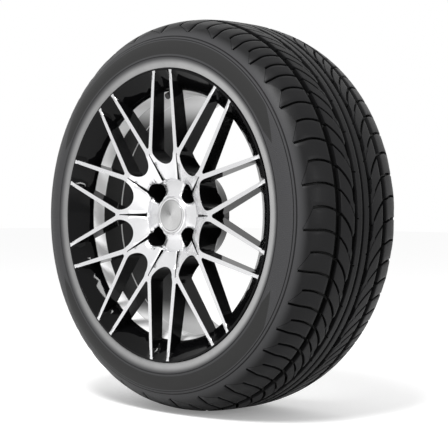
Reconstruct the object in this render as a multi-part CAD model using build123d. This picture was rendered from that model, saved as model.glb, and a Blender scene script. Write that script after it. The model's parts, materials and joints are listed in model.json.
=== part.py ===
from build123d import *
import os
from math import atan2, cos, degrees, radians, sin, tan

# A low-profile car tyre fitted to a one-piece alloy wheel, with its centre cap and valve.
# Millimetres and degrees. The wheel spins about Y, its outer face looks along -Y, and the
# origin is the centre of the tyre. A "depth" is measured from the rim's front edge towards +Y.

# Rim, 8 inches wide and 17 inches across the bead seats
RIM_WIDTH = 203.2
SEAT_RADIUS = 218.3
SEAT_WIDTH = 21.0
SEAT_TAPER = 5.0
HUMP_HEIGHT = 1.2
HUMP_RUN = 3.0
WELL_DROP = 16.3
WELL_SLOPE_RUN = 9.0
WELL_WIDTH = 30.0
FLANGE_HEIGHT = 17.3
FLANGE_WIDTH = 16.0
FLANGE_FACE = 8.5
FLANGE_CURL = 7.0
LIP_FACE = 3.2
BARREL_WALL = 5.5
FRONT_WALL_DROP = 11.3
FRONT_WALL_DEPTH = 18.0

# Spokes: ten arms that each fork into two branches
ARM_COUNT = 10
CREASE_RADIUS = 102.0
CREASE_DEPTH = 3.6
NODE_RADIUS = 108.0
PAIR_GAP_INNER = 50.6
PAIR_GAP_OUTER = 32.7
BRANCH_WIDTH_INNER = 7.9
BRANCH_WIDTH_OUTER = 5.8
PAIR_WINDOW_START = 83.0
FORK_ROUND = 3.0
SPOKE_BACK_OUTER_DEPTH = 23.0
SPOKE_BACK_INNER_DEPTH = 31.0
ARM_GROOVE_START = 58.0
ARM_GROOVE_END = 104.0
ARM_GROOVE_WIDTH = 5.6
ARM_GROOVE_TIP_WIDTH = 1.4
ARM_GROOVE_DEPTH = 3.5

# Hub
OFFSET = 35.0
PAD_RADIUS = 74.0
HUB_SLOPE_RADIUS = 86.0
HUB_SLOPE_DEPTH = 52.0
HUB_BORE_RADIUS = 30.05
HUB_BORE_LENGTH = 30.0
RECESS_RADIUS = 59.8
RECESS_DEPTH = 22.2
RECESS_FLOOR_RADIUS = 57.0
RECESS_FLOOR_DEPTH = 30.5
BOSS_BASE_RADIUS = 41.0
BOSS_RADIUS = 35.5
BOSS_DEPTH = 27.0
BOLT_COUNT = 4
BOLT_CIRCLE = 100.0
BOLT_HOLE_RADIUS = 7.25
BOLT_SEAT_RADIUS = 11.5
BOLT_SEAT_ANGLE = 60.0
BOLT_POCKET_RADIUS = 15.75
BOLT_POCKET_DEPTH = 60.0

# Centre cap, a moulded cap held by spring fingers
CAP_RADIUS = 31.2
CAP_THICKNESS = 3.6
CAP_EDGE_ROUND = 1.4
CAP_BORE_RADIUS = 28.0
CAP_BORE_LENGTH = 15.0
CAP_CATCH_RADIUS = 31.0
FINGER_COUNT = 8
FINGER_GAP = 6.0
FINGER_ROOT = 1.4
FINGER_WALL = 2.0
FINGER_HOOK = 0.9
FINGER_HOOK_LENGTH = 3.0
FINGER_CLEARANCE = 0.25
CAP_DISC_RADIUS = 24.5
CAP_DISC_THICKNESS = 1.2
CAP_DISC_PROUD = 0.3
CAP_DISC_CLEARANCE = 0.1
SPRING_RING_WIRE = 1.5
SPRING_RING_GAP = 12.0
SPRING_RING_CLEARANCE = 0.1

# Tyre, 235 wide and 45 high in section
SECTION_HEIGHT = 103.2
CROWN_DROP = 10.8
CROWN_DROP_AT = 85.8
GROOVE_DEPTH = 8.0
GROOVE_DRAFT = 8.0
CENTRE_GROOVE_WIDTH = 5.0
MIDDLE_GROOVE_AT = 17.0
MIDDLE_GROOVE_WIDTH = 7.0
OUTER_GROOVE_AT = 55.0
OUTER_GROOVE_WIDTH = 11.0
RIB_EDGE_AT = 88.0
SHOULDER_DROP = 20.0
SHOULDER_AT = 101.0
SHOULDER_FOOT_DROP = 33.5
SHOULDER_FOOT_AT = 111.6
SIDEWALL_DROP = 51.5
SIDEWALL_PROUD = 0.3
PROTECTOR_RISE = 17.4
PROTECTOR_PROUD = 1.7
BEAD_EDGE_INSET = 2.0
BEAD_EDGE_RISE = 1.2
BEAD_WIDTH = 18.0
BEAD_CLEARANCE = 0.15
CROWN_THICKNESS = 15.5
RIB_EDGE_THICKNESS = 7.75
SIDEWALL_THICKNESS = 7.5
BEAD_NECK_RISE = 2.4
BEAD_NECK_THICKNESS = 14.0
LATERAL_COUNT = 56
LATERAL_WIDTH = 4.0
LATERAL_DEPTH = 6.5
LATERAL_SLANT = 6.0
LATERAL_START_ANGLE = 1.6

# Snap-in valve in the slope between the front bead seat and the well
VALVE_ANGLE = 90.0
VALVE_WALL = 4.0
VALVE_HOLE_RADIUS = 5.75
VALVE_SPOT_RADIUS = 10.0
VALVE_SPOT_DEPTH = 17.5
VALVE_CLEARANCE = 0.1
VALVE_FOOT_RADIUS = 7.6
VALVE_FOOT_HEIGHT = 6.5
VALVE_FOOT_TIP_RADIUS = 5.2
VALVE_COLLAR_RADIUS = 6.9
VALVE_COLLAR_HEIGHT = 3.0
VALVE_BODY_RADIUS = 4.7
VALVE_BODY_LENGTH = 17.5
TUBE_RADIUS = 3.85
TUBE_ROOT_RADIUS = 3.2
TUBE_EXPOSED = 10.0
TUBE_BORE_RADIUS = 1.5
CORE_CHAMBER_RADIUS = 2.6
CORE_RECESS = 0.8
CORE_HEAD_RADIUS = 2.3
CORE_HEAD_LENGTH = 5.0
CORE_HEAD_CHAMFER = 0.8
CORE_BARREL_RADIUS = 1.75
CORE_LENGTH = 14.0
CORE_SPRING_BORE = 1.25
CORE_SPRING_LENGTH = 6.5
CORE_FLOOR = 1.2
CORE_HOLE_RADIUS = 0.6
PIN_RADIUS = 0.45
PIN_PROUD = 0.4
PIN_COLLAR_RADIUS = 1.0
PIN_COLLAR_HEIGHT = 0.8
PIN_TRAVEL = 1.5
PLUNGER_RADIUS = 1.7
PLUNGER_HEIGHT = 1.2
PLUNGER_SEAL_HEIGHT = 0.9
PLUNGER_ROOM = 2.6
VALVE_SEAT_GAP = 0.02
SPRING_WIRE = 0.25
SPRING_TURNS = 6
VALVE_CAP_RADIUS = 5.1
VALVE_CAP_ROOF = 1.6
VALVE_CAP_FLUTES = 12
VALVE_CAP_FLUTE_RADIUS = 0.7
VALVE_CAP_SEAL_HEIGHT = 1.0
VALVE_CAP_GAP = 0.4
THREAD_CLEARANCE = 0.2

# Places worked out from the sizes above
HALF_RIM = RIM_WIDTH / 2
RIM_EDGE = HALF_RIM + FLANGE_WIDTH
FLANGE_RADIUS = SEAT_RADIUS + FLANGE_HEIGHT
WELL_RADIUS = SEAT_RADIUS - WELL_DROP
FRONT_WALL_RADIUS = SEAT_RADIUS - FRONT_WALL_DROP
TYRE_RADIUS = SEAT_RADIUS + SECTION_HEIGHT
SHOULDER_RADIUS = TYRE_RADIUS - SHOULDER_DROP
SHOULDER_FOOT_RADIUS = TYRE_RADIUS - SHOULDER_FOOT_DROP
SIDEWALL_RADIUS = TYRE_RADIUS - SIDEWALL_DROP
SIDEWALL_AT = RIM_EDGE + SIDEWALL_PROUD
PROTECTOR_RADIUS = FLANGE_RADIUS + PROTECTOR_RISE
PROTECTOR_AT = RIM_EDGE + PROTECTOR_PROUD
BEAD_NECK_RADIUS = FLANGE_RADIUS + BEAD_NECK_RISE
SEAT_END_RADIUS = SEAT_RADIUS - SEAT_WIDTH * tan(radians(SEAT_TAPER))
HUMP_AT = HALF_RIM - SEAT_WIDTH - HUMP_RUN
HUMP_RADIUS = SEAT_END_RADIUS + HUMP_HEIGHT
WELL_FRONT = WELL_SLOPE_RUN - HUMP_AT
WELL_BACK = WELL_FRONT + WELL_WIDTH
PAD_DEPTH = RIM_EDGE - OFFSET
CUT = 1.0


def at_depth(depth):
    """Y of a plane that lies the given depth behind the rim's front edge."""
    return depth - RIM_EDGE


def turned(points):
    """Solid turned about Y from an outline of (radius, y) points."""
    return revolve(make_face(Polyline(*points, close=True)), axis=Axis.Y)


def around(shape, count, start=0.0):
    """Copies of a shape spaced evenly about Y, the first turned by the start angle."""
    return [Rot(0, -start - 360 / count * i, 0) * shape for i in range(count)]


def plan_cut(sketch, front_depth, back_depth):
    """Prism along Y over a plan that is symmetric about X, from one depth to another."""
    plane = Plane((0, at_depth(front_depth), 0), x_dir=(1, 0, 0), z_dir=(0, 1, 0))
    return extrude(plane * sketch, amount=back_depth - front_depth, dir=(0, 1, 0))


def crown_radius(at):
    """Outer radius of the tread at a distance from its centre line."""
    return TYRE_RADIUS - CROWN_DROP * (abs(at) / CROWN_DROP_AT) ** 3


# Tyre
def tread_outline():
    """Outline of one half of the tread from the centre line to the rib's edge."""
    grooves = [
        (0.0, CENTRE_GROOVE_WIDTH),
        (MIDDLE_GROOVE_AT, MIDDLE_GROOVE_WIDTH),
        (OUTER_GROOVE_AT, OUTER_GROOVE_WIDTH),
    ]
    taper = GROOVE_DEPTH * tan(radians(GROOVE_DRAFT))
    points = []
    for middle, width in grooves:
        floor = crown_radius(middle) - GROOVE_DEPTH
        near, far = middle - width / 2, middle + width / 2
        points += [(crown_radius(near), near), (floor, near + taper)]
        points += [(floor, far - taper), (crown_radius(far), far)]
    points = [point for point in points if point[1] > 0]
    return [(points[0][0], 0.0)] + points + [(crown_radius(RIB_EDGE_AT), RIB_EDGE_AT)]


def bead_outline():
    """Outline of one bead and sidewall from the protector ridge to the toe."""
    gap = BEAD_CLEARANCE
    toe = SEAT_RADIUS + gap - BEAD_WIDTH * tan(radians(SEAT_TAPER))
    return [
        (PROTECTOR_RADIUS, PROTECTOR_AT),
        (FLANGE_RADIUS + BEAD_EDGE_RISE, RIM_EDGE - BEAD_EDGE_INSET),
        (FLANGE_RADIUS + gap, HALF_RIM + FLANGE_CURL - gap),
        (SEAT_RADIUS + FLANGE_FACE + gap, HALF_RIM - gap),
        (SEAT_RADIUS + gap, HALF_RIM - gap),
        (toe, HALF_RIM - BEAD_WIDTH),
    ]


def tyre_casing():
    """Hollow casing with the grooves that run round the tread."""
    shoulder = [
        (SHOULDER_RADIUS, SHOULDER_AT),
        (SHOULDER_FOOT_RADIUS, SHOULDER_FOOT_AT),
        (SIDEWALL_RADIUS, SIDEWALL_AT),
    ]
    liner = [
        (BEAD_NECK_RADIUS, RIM_EDGE - BEAD_EDGE_INSET - BEAD_NECK_THICKNESS),
        (SIDEWALL_RADIUS, SIDEWALL_AT - SIDEWALL_THICKNESS),
        (crown_radius(RIB_EDGE_AT) - RIB_EDGE_THICKNESS, RIB_EDGE_AT - SIDEWALL_THICKNESS),
        (TYRE_RADIUS - CROWN_THICKNESS, 0.0),
    ]
    half = tread_outline() + shoulder + bead_outline() + liner
    other = [(radius, -at) for radius, at in reversed(half[1:-1])]
    return turned(half + other)


def lateral_groove():
    """Cutter for one groove across the shoulder of the +Y half, at angle 0."""
    outside = TYRE_RADIUS + CUT
    outline = Polyline(
        (crown_radius(OUTER_GROOVE_AT) - LATERAL_DEPTH, OUTER_GROOVE_AT),
        (crown_radius(RIB_EDGE_AT) - LATERAL_DEPTH, RIB_EDGE_AT),
        (SHOULDER_FOOT_RADIUS, SHOULDER_FOOT_AT + CUT),
        (outside, SHOULDER_FOOT_AT + CUT),
        (outside, OUTER_GROOVE_AT),
        close=True,
    )
    slab = extrude(make_face(outline), amount=LATERAL_WIDTH / 2, both=True)
    return Rot(LATERAL_SLANT, 0, 0) * slab


def tyre():
    """Casing with the shoulder grooves cut; the two halves are half a pitch apart."""
    back = lateral_groove()
    front = mirror(back, about=Plane.XZ)
    half_pitch = 180 / LATERAL_COUNT
    cuts = around(back, LATERAL_COUNT, LATERAL_START_ANGLE + half_pitch)
    cuts += around(front, LATERAL_COUNT, LATERAL_START_ANGLE)
    return tyre_casing() - cuts


# Wheel
def rim():
    """Rim turned from one outline: flanges, bead seats, humps and well."""
    front = [
        (FLANGE_RADIUS - LIP_FACE, -RIM_EDGE),
        (FLANGE_RADIUS, -RIM_EDGE),
        (FLANGE_RADIUS, -HALF_RIM - FLANGE_CURL),
        (SEAT_RADIUS + FLANGE_FACE, -HALF_RIM),
        (SEAT_RADIUS, -HALF_RIM),
        (SEAT_END_RADIUS, SEAT_WIDTH - HALF_RIM),
        (HUMP_RADIUS, -HUMP_AT),
    ]
    back = [(radius, -at) for radius, at in reversed(front)]
    well = [(WELL_RADIUS, WELL_FRONT), (WELL_RADIUS, WELL_BACK)]
    inside = [
        (SEAT_END_RADIUS - BARREL_WALL, HALF_RIM),
        (SEAT_END_RADIUS - BARREL_WALL, HUMP_AT),
        (WELL_RADIUS - BARREL_WALL, WELL_BACK),
        (WELL_RADIUS - BARREL_WALL, WELL_FRONT),
        (FRONT_WALL_RADIUS, at_depth(FRONT_WALL_DEPTH)),
    ]
    return turned(front + well + back + inside)


def face_depth(radius):
    """Depth of the spokes' front face at a radius: flat outside the crease, a cone inside it."""
    outer = FLANGE_RADIUS - LIP_FACE
    if radius > CREASE_RADIUS:
        return CREASE_DEPTH * (outer - radius) / (outer - CREASE_RADIUS)
    share = (CREASE_RADIUS - radius) / (CREASE_RADIUS - RECESS_RADIUS)
    return CREASE_DEPTH + share * (RECESS_DEPTH - CREASE_DEPTH)


def disc():
    """Hub and spoke disc before its windows are cut."""
    catch = BOSS_DEPTH + CAP_BORE_LENGTH
    bore = PAD_DEPTH - HUB_BORE_LENGTH
    outer = FLANGE_RADIUS - LIP_FACE
    outline = [
        (HUB_BORE_RADIUS, PAD_DEPTH),
        (HUB_BORE_RADIUS, bore),
        (CAP_CATCH_RADIUS, bore),
        (CAP_CATCH_RADIUS, catch),
        (CAP_BORE_RADIUS, catch),
        (CAP_BORE_RADIUS, BOSS_DEPTH),
        (BOSS_RADIUS, BOSS_DEPTH),
        (BOSS_BASE_RADIUS, RECESS_FLOOR_DEPTH),
        (RECESS_FLOOR_RADIUS, RECESS_FLOOR_DEPTH),
        (RECESS_RADIUS, RECESS_DEPTH),
        (CREASE_RADIUS, CREASE_DEPTH),
        (outer, 0.0),
        (FRONT_WALL_RADIUS, SPOKE_BACK_OUTER_DEPTH),
        (NODE_RADIUS, SPOKE_BACK_INNER_DEPTH),
        (HUB_SLOPE_RADIUS, HUB_SLOPE_DEPTH),
        (PAD_RADIUS, PAD_DEPTH),
    ]
    return turned([(radius, at_depth(depth)) for radius, depth in outline])


def branch_edge(gap_inner, gap_outer, along):
    """Distance from a pair's centre line to an edge whose distance at both ends is given."""
    share = (along - NODE_RADIUS) / (FLANGE_RADIUS - NODE_RADIUS)
    return gap_inner + share * (gap_outer - gap_inner)


def pair_window():
    """Plan of the window between two neighbouring arms, along +X."""
    reach = FLANGE_RADIUS + CUT
    far = branch_edge(PAIR_GAP_INNER / 2, PAIR_GAP_OUTER / 2, reach)
    near = PAIR_GAP_INNER / 2
    outline = Polyline((NODE_RADIUS, near), (reach, far), (reach, -far), (NODE_RADIUS, -near))
    end = ThreePointArc((NODE_RADIUS, -near), (PAIR_WINDOW_START, 0), (NODE_RADIUS, near))
    return make_face([*outline.edges(), end])


def fork_window():
    """Plan of the window inside one arm's fork, along +X."""
    half_step = radians(180 / ARM_COUNT)
    reach = FLANGE_RADIUS + CUT
    near = PAIR_GAP_INNER / 2 + BRANCH_WIDTH_INNER
    far = branch_edge(near, PAIR_GAP_OUTER / 2 + BRANCH_WIDTH_OUTER, reach)
    edge = [(NODE_RADIUS, near), (reach, far)]
    inner, outer = [
        (u * cos(half_step) + v * sin(half_step), u * sin(half_step) - v * cos(half_step))
        for u, v in edge
    ]
    tip = inner[0] - inner[1] * (outer[0] - inner[0]) / (outer[1] - inner[1])
    sketch = make_face(Polyline((tip, 0), outer, (outer[0], -outer[1]), close=True))
    corner = sketch.vertices().sort_by(Axis.X)[0]
    return fillet(corner, FORK_ROUND)


def windows():
    """All the windows of the disc, cut right through."""
    front, back = -CUT, PAD_DEPTH + CUT
    fork = plan_cut(fork_window(), front, back)
    pair = plan_cut(pair_window(), front, back)
    return around(fork, ARM_COUNT) + around(pair, ARM_COUNT, 180 / ARM_COUNT)


def arm_grooves():
    """Tapered grooves sunk into the slope of each arm."""
    tip, root = ARM_GROOVE_TIP_WIDTH / 2, ARM_GROOVE_WIDTH / 2
    plan = make_face(
        Polyline(
            (ARM_GROOVE_START, -root),
            (ARM_GROOVE_END, -tip),
            (ARM_GROOVE_END, tip),
            (ARM_GROOVE_START, root),
            close=True,
        )
    )
    radii = [ARM_GROOVE_START - CUT, CREASE_RADIUS, ARM_GROOVE_END + CUT]
    top = [(radius, at_depth(face_depth(radius) - CUT)) for radius in radii]
    floor = [(radius, at_depth(face_depth(radius) + ARM_GROOVE_DEPTH)) for radius in radii]
    skin = turned(top + floor[::-1])
    groove = plan_cut(plan, -CUT, PAD_DEPTH) & skin
    return around(groove, ARM_COUNT)


def bolt_holes():
    """Bolt holes with conical seats at the bottom of round pockets."""
    cone = (BOLT_SEAT_RADIUS - BOLT_HOLE_RADIUS) / tan(radians(BOLT_SEAT_ANGLE / 2))
    outline = [
        (0, -CUT),
        (BOLT_POCKET_RADIUS, -CUT),
        (BOLT_POCKET_RADIUS, BOLT_POCKET_DEPTH),
        (BOLT_SEAT_RADIUS, BOLT_POCKET_DEPTH),
        (BOLT_HOLE_RADIUS, BOLT_POCKET_DEPTH + cone),
        (BOLT_HOLE_RADIUS, PAD_DEPTH + CUT),
        (0, PAD_DEPTH + CUT),
    ]
    hole = turned([(radius, at_depth(depth)) for radius, depth in outline])
    return around(Pos(BOLT_CIRCLE / 2, 0, 0) * hole, BOLT_COUNT, 180 / BOLT_COUNT)


def wheel():
    """One-piece wheel: rim, spokes and hub, with the valve's hole."""
    spider = disc() - windows() - arm_grooves() - bolt_holes()
    return rim() + spider - valve_place() * valve_hole()


# Centre cap
def centre_cap():
    """Moulded cap: a rounded disc with a recess, and spring fingers behind it."""
    front = BOSS_DEPTH - CAP_THICKNESS
    seat = front + CAP_DISC_THICKNESS - CAP_DISC_PROUD
    hook = BOSS_DEPTH + CAP_BORE_LENGTH + FINGER_CLEARANCE
    outside = CAP_BORE_RADIUS - FINGER_CLEARANCE
    inside = outside - FINGER_WALL
    outline = [
        (0, seat),
        (CAP_DISC_RADIUS + CAP_DISC_CLEARANCE, seat),
        (CAP_DISC_RADIUS + CAP_DISC_CLEARANCE, front),
        (CAP_RADIUS - CAP_EDGE_ROUND, front),
        (CAP_RADIUS, front + CAP_EDGE_ROUND),
        (CAP_RADIUS, BOSS_DEPTH),
        (outside, BOSS_DEPTH),
        (outside, hook),
        (outside + FINGER_HOOK, hook),
        (outside, hook + FINGER_HOOK_LENGTH),
        (inside, hook + FINGER_HOOK_LENGTH),
        (inside, BOSS_DEPTH),
        (0, BOSS_DEPTH),
    ]
    body = turned([(radius, at_depth(depth)) for radius, depth in outline])
    reach = CAP_RADIUS + CUT
    slot = Box(reach, FINGER_HOOK_LENGTH + hook - BOSS_DEPTH, FINGER_GAP)
    middle = (BOSS_DEPTH + hook + FINGER_HOOK_LENGTH) / 2
    slot = Pos(reach / 2, at_depth(middle) + FINGER_ROOT, 0) * slot
    return body - around(slot, FINGER_COUNT)


def cap_disc():
    """Thin metal disc let into the front of the cap."""
    front = at_depth(BOSS_DEPTH - CAP_THICKNESS - CAP_DISC_PROUD)
    back = front + CAP_DISC_THICKNESS
    return turned([(0, front), (CAP_DISC_RADIUS, front), (CAP_DISC_RADIUS, back), (0, back)])


def cap_spring_ring():
    """Open ring of square wire that presses the cap's fingers outwards."""
    inside = CAP_BORE_RADIUS - FINGER_CLEARANCE - FINGER_WALL
    radius = inside - SPRING_RING_WIRE / 2 - SPRING_RING_CLEARANCE
    depth = BOSS_DEPTH + CAP_BORE_LENGTH
    wire = Pos(radius, at_depth(depth), 0) * Rectangle(SPRING_RING_WIRE, SPRING_RING_WIRE)
    return revolve(wire, axis=Axis.Y, revolution_arc=360 - degrees(SPRING_RING_GAP / radius))


# Valve, drawn upright on Z with Z = 0 at the rim's tyre side, then set in its place
SLOPE_DROP = HUMP_RADIUS - WELL_RADIUS
SLOPE_ANGLE = degrees(atan2(SLOPE_DROP, WELL_SLOPE_RUN))
BODY_BASE = VALVE_WALL + VALVE_COLLAR_HEIGHT
BODY_TOP = BODY_BASE + VALVE_BODY_LENGTH
TUBE_TOP = BODY_TOP + TUBE_EXPOSED
CORE_TOP = TUBE_TOP - CORE_RECESS
CORE_BASE = CORE_TOP - CORE_LENGTH
SPRING_BASE = CORE_BASE + CORE_FLOOR
SPRING_TOP = SPRING_BASE + CORE_SPRING_LENGTH
PLUNGER_BASE = CORE_BASE - PLUNGER_SEAL_HEIGHT - PLUNGER_HEIGHT


def upright(points):
    """Solid turned about Z from an outline of (radius, z) points."""
    return revolve(Plane.XZ * make_face(Polyline(*points, close=True)), axis=Axis.Z)


def valve_place():
    """Place of the valve's own frame: its Z axis leaves the slope of the well at a right angle."""
    radius = (HUMP_RADIUS + WELL_RADIUS) / 2
    at = WELL_FRONT - WELL_SLOPE_RUN / 2
    lean = radians(SLOPE_ANGLE)
    out = (-cos(lean), -sin(lean), 0)
    place = Plane((radius, at, 0), x_dir=(0, 0, 1), z_dir=out)
    return Rot(0, -VALVE_ANGLE, 0) * place.location


def valve_hole():
    """Hole through the rim with a flat spot on both sides that leaves an even wall."""
    outside = Pos(0, 0, -VALVE_FOOT_HEIGHT / 2) * Cylinder(VALVE_SPOT_RADIUS, VALVE_FOOT_HEIGHT)
    depth = VALVE_SPOT_DEPTH
    inside = Pos(0, 0, VALVE_WALL + depth / 2) * Cylinder(VALVE_SPOT_RADIUS, depth)
    return outside + inside + Cylinder(VALVE_HOLE_RADIUS, 2 * depth)


def valve_stem():
    """Rubber valve body with its foot, the neck in the rim and the tapered stem."""
    bore = TUBE_ROOT_RADIUS + VALVE_CLEARANCE
    return upright(
        [
            (bore, -VALVE_FOOT_HEIGHT),
            (VALVE_FOOT_TIP_RADIUS, -VALVE_FOOT_HEIGHT),
            (VALVE_FOOT_RADIUS, -VALVE_CLEARANCE),
            (VALVE_HOLE_RADIUS - VALVE_CLEARANCE, -VALVE_CLEARANCE),
            (VALVE_HOLE_RADIUS - VALVE_CLEARANCE, VALVE_WALL + VALVE_CLEARANCE),
            (VALVE_COLLAR_RADIUS, VALVE_WALL + VALVE_CLEARANCE),
            (VALVE_BODY_RADIUS, BODY_BASE),
            (VALVE_BODY_RADIUS, BODY_TOP),
            (bore, BODY_TOP),
        ]
    )


def valve_tube():
    """Brass tube that carries the valve core and the cap's thread."""
    chamber = PLUNGER_BASE - PIN_TRAVEL - PLUNGER_ROOM
    return upright(
        [
            (TUBE_BORE_RADIUS, -VALVE_FOOT_HEIGHT),
            (TUBE_ROOT_RADIUS, -VALVE_FOOT_HEIGHT),
            (TUBE_ROOT_RADIUS, BODY_TOP + VALVE_CLEARANCE),
            (TUBE_RADIUS, BODY_TOP + VALVE_CLEARANCE),
            (TUBE_RADIUS, TUBE_TOP),
            (CORE_CHAMBER_RADIUS, TUBE_TOP),
            (CORE_CHAMBER_RADIUS, chamber),
            (TUBE_BORE_RADIUS, chamber),
        ]
    )


def valve_core():
    """Valve core: a threaded head over a narrow barrel that holds the spring."""
    return upright(
        [
            (CORE_HOLE_RADIUS, CORE_BASE),
            (CORE_BARREL_RADIUS, CORE_BASE),
            (CORE_BARREL_RADIUS, CORE_TOP - CORE_HEAD_LENGTH),
            (CORE_CHAMBER_RADIUS - VALVE_CLEARANCE, CORE_TOP - CORE_HEAD_LENGTH),
            (CORE_CHAMBER_RADIUS - VALVE_CLEARANCE, CORE_TOP - CORE_HEAD_CHAMFER),
            (CORE_HEAD_RADIUS, CORE_TOP),
            (CORE_SPRING_BORE, CORE_TOP),
            (CORE_SPRING_BORE, SPRING_BASE),
            (CORE_HOLE_RADIUS, SPRING_BASE),
        ]
    )


def valve_pin():
    """Pin with the collar that the spring lifts and the plunger that closes the core."""
    collar = SPRING_TOP
    return upright(
        [
            (0, PLUNGER_BASE),
            (PLUNGER_RADIUS, PLUNGER_BASE),
            (PLUNGER_RADIUS, CORE_BASE - PLUNGER_SEAL_HEIGHT - VALVE_SEAT_GAP),
            (PIN_RADIUS, CORE_BASE - PLUNGER_SEAL_HEIGHT - VALVE_SEAT_GAP),
            (PIN_RADIUS, collar),
            (PIN_COLLAR_RADIUS, collar),
            (PIN_COLLAR_RADIUS, collar + PIN_COLLAR_HEIGHT),
            (PIN_RADIUS, collar + PIN_COLLAR_HEIGHT),
            (PIN_RADIUS, CORE_TOP + PIN_PROUD),
            (0, CORE_TOP + PIN_PROUD),
        ]
    )


def valve_pin_seal():
    """Rubber washer on the plunger, pressed against the end of the core."""
    bottom = CORE_BASE - PLUNGER_SEAL_HEIGHT - VALVE_SEAT_GAP
    top = CORE_BASE - VALVE_SEAT_GAP
    inside = PIN_RADIUS + VALVE_SEAT_GAP
    return upright([(inside, bottom), (PLUNGER_RADIUS, bottom), (PLUNGER_RADIUS, top), (inside, top)])


def valve_spring():
    """Coil spring in the core's barrel, under the pin's collar."""
    radius = (CORE_SPRING_BORE + PIN_RADIUS) / 2
    height = CORE_SPRING_LENGTH - SPRING_WIRE - 2 * VALVE_SEAT_GAP
    path = Helix(pitch=height / SPRING_TURNS, height=height, radius=radius)
    wire = Plane.XZ * Pos(radius, 0) * Rectangle(SPRING_WIRE, SPRING_WIRE)
    coil = sweep(wire, path=path, is_frenet=True)
    return Pos(0, 0, SPRING_BASE + SPRING_WIRE / 2 + VALVE_SEAT_GAP) * coil


def valve_cap():
    """Plastic dust cap with a fluted outside."""
    bottom = BODY_TOP + VALVE_CAP_GAP
    bore = TUBE_RADIUS + THREAD_CLEARANCE
    ceiling = TUBE_TOP + VALVE_CAP_SEAL_HEIGHT + VALVE_SEAT_GAP
    top = ceiling + VALVE_CAP_ROOF
    body = upright(
        [
            (bore, bottom),
            (VALVE_CAP_RADIUS, bottom),
            (VALVE_CAP_RADIUS, top),
            (0, top),
            (0, ceiling),
            (bore, ceiling),
        ]
    )
    flute = Cylinder(VALVE_CAP_FLUTE_RADIUS, top - bottom)
    flute = Pos(VALVE_CAP_RADIUS, 0, (bottom + top) / 2) * flute
    step = 360 / VALVE_CAP_FLUTES
    return body - [Rot(0, 0, step * i) * flute for i in range(VALVE_CAP_FLUTES)]


def valve_cap_seal():
    """Rubber ring inside the cap that closes on the end of the tube."""
    bottom = TUBE_TOP + VALVE_SEAT_GAP
    top = TUBE_TOP + VALVE_CAP_SEAL_HEIGHT
    return upright(
        [
            (CORE_CHAMBER_RADIUS, bottom),
            (TUBE_RADIUS, bottom),
            (TUBE_RADIUS, top),
            (CORE_CHAMBER_RADIUS, top),
        ]
    )


# Everything is written out, one file to a piece
WHEEL_PIECES = [tyre, wheel, centre_cap, cap_disc, cap_spring_ring]
VALVE_PIECES = [
    valve_stem,
    valve_tube,
    valve_core,
    valve_pin,
    valve_pin_seal,
    valve_spring,
    valve_cap,
    valve_cap_seal,
]

os.makedirs("parts", exist_ok=True)
for piece in WHEEL_PIECES:
    export_step(piece(), f"parts/{piece.__name__}.step")
for piece in VALVE_PIECES:
    export_step(valve_place() * piece(), f"parts/{piece.__name__}.step")
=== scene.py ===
"""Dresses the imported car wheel: a moulded tyre with its tread, and finishes for wheel, cap and valve."""
from __future__ import annotations

import json
import logging
from dataclasses import dataclass
from enum import Enum
from math import pi, radians
from typing import Any

import bmesh
import bpy
import numpy as np
from mathutils import Matrix, Vector

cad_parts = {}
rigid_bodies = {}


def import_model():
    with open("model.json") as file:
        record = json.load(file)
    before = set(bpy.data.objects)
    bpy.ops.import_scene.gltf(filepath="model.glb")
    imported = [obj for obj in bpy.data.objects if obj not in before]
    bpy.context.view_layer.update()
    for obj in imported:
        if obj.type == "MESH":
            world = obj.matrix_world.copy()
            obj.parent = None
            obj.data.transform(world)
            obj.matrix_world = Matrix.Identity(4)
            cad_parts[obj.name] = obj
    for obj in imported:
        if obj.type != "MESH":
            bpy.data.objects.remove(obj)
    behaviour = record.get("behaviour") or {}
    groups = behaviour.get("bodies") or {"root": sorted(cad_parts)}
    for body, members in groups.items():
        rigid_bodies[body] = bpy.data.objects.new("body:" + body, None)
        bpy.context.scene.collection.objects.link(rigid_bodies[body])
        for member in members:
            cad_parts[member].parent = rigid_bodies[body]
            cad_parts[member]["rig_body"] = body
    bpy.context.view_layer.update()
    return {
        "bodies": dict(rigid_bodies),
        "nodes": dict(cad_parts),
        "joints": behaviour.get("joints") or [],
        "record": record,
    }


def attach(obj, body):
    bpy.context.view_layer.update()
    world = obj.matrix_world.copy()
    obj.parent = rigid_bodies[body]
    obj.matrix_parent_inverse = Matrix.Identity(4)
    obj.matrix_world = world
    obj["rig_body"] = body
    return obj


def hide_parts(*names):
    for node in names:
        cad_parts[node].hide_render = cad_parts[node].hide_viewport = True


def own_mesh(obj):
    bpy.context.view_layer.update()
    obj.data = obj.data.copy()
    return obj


LOG = logging.getLogger("wheel")
MM = 0.001
ROOT = "root"
Colour = tuple[float, float, float, float]
Span = tuple[float, float]
Place = tuple[float, float, float]


def grey(level: float, tint: float = 0.0) -> Colour:
    """Grey of the given linear level, a little bluer by the tint."""
    return (level, level, level * (1.0 + tint), 1.0)


class Half(Enum):
    """The two halves of the tyre: which way their Y runs, and the share of a pitch they are set on by."""

    OUTER = (-1, 0.0)
    INNER = (1, 0.25)

    @property
    def side(self) -> int:
        """Sign of Y on this half."""
        return self.value[0]

    @property
    def shift(self) -> float:
        """Share of a pitch that this half's pattern is set on by."""
        return self.value[1]


class Row(Enum):
    """What a row of the tread runs along: a block, or the edge or floor of one of a pitch's two grooves."""

    LAND = 0
    SHORT_EDGE = 1
    SHORT_FLOOR = 2
    LONG_EDGE = 3
    LONG_FLOOR = 4


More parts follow.
